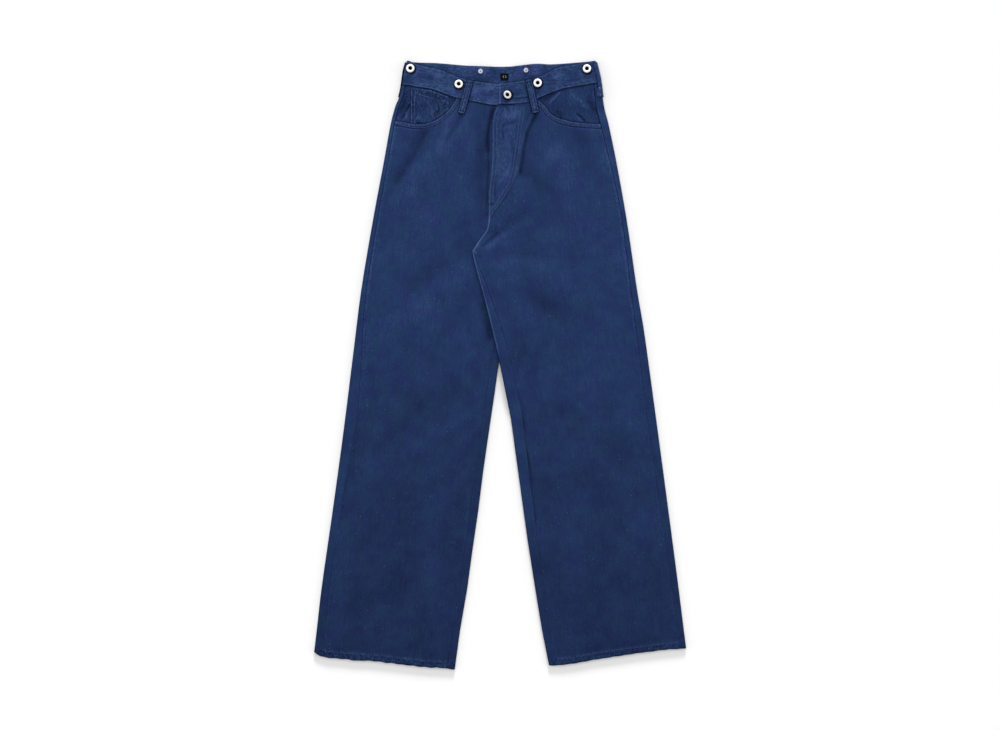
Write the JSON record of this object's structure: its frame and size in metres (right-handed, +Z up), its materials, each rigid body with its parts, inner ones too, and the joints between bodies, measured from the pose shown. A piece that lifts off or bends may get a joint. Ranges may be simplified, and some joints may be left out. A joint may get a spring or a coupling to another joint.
{
  "type": "trousers",
  "caption": "High-rise wide-leg workwear trousers in indigo twill, laid flat front up, with curved pockets, a buttoned fly and ring buttons on the waistband.",
  "frame": {"origin": "centre of the bounding box at the surface that the trousers lie on", "axes": "+X toward the wearer's left, +Y from the hems toward the waist, +Z up out of the front"},
  "size_m": [0.6511, 1.0649, 0.0179],
  "materials": {
    "twill_back": "indigo slub twill",
    "twill_front": "indigo slub twill",
    "twill_band": "indigo slub twill",
    "twill_facing": "indigo slub twill",
    "twill_loop": "indigo slub twill",
    "button_white": "white enamel",
    "rivet_silver": "satin silver",
    "tab_dark": "plain dark woven tape"
  },
  "bodies": {
    "root": {"back_panel_right": "twill_back", "front_panel_right": "twill_front", "waistband_right": "twill_band", "pocket_facing_right": "twill_facing", "belt_loop_side_right": "twill_loop", "back_panel_left": "twill_back", "front_panel_left": "twill_front", "waistband_left": "twill_band", "pocket_facing_left": "twill_facing", "belt_loop_side_left": "twill_loop", "coin_pocket": "twill_facing", "belt_loop_front_right": "twill_loop", "belt_loop_front_left": "twill_loop", "button_front_1": "button_white", "button_front_2": "button_white", "button_fly": "button_white", "button_front_3": "button_white", "button_front_4": "button_white", "button_back_right": "button_white", "button_back_left": "button_white", "rivet_back_right": "rivet_silver", "rivet_back_left": "rivet_silver", "size_tab": "tab_dark"}
  },
  "joints": []
}
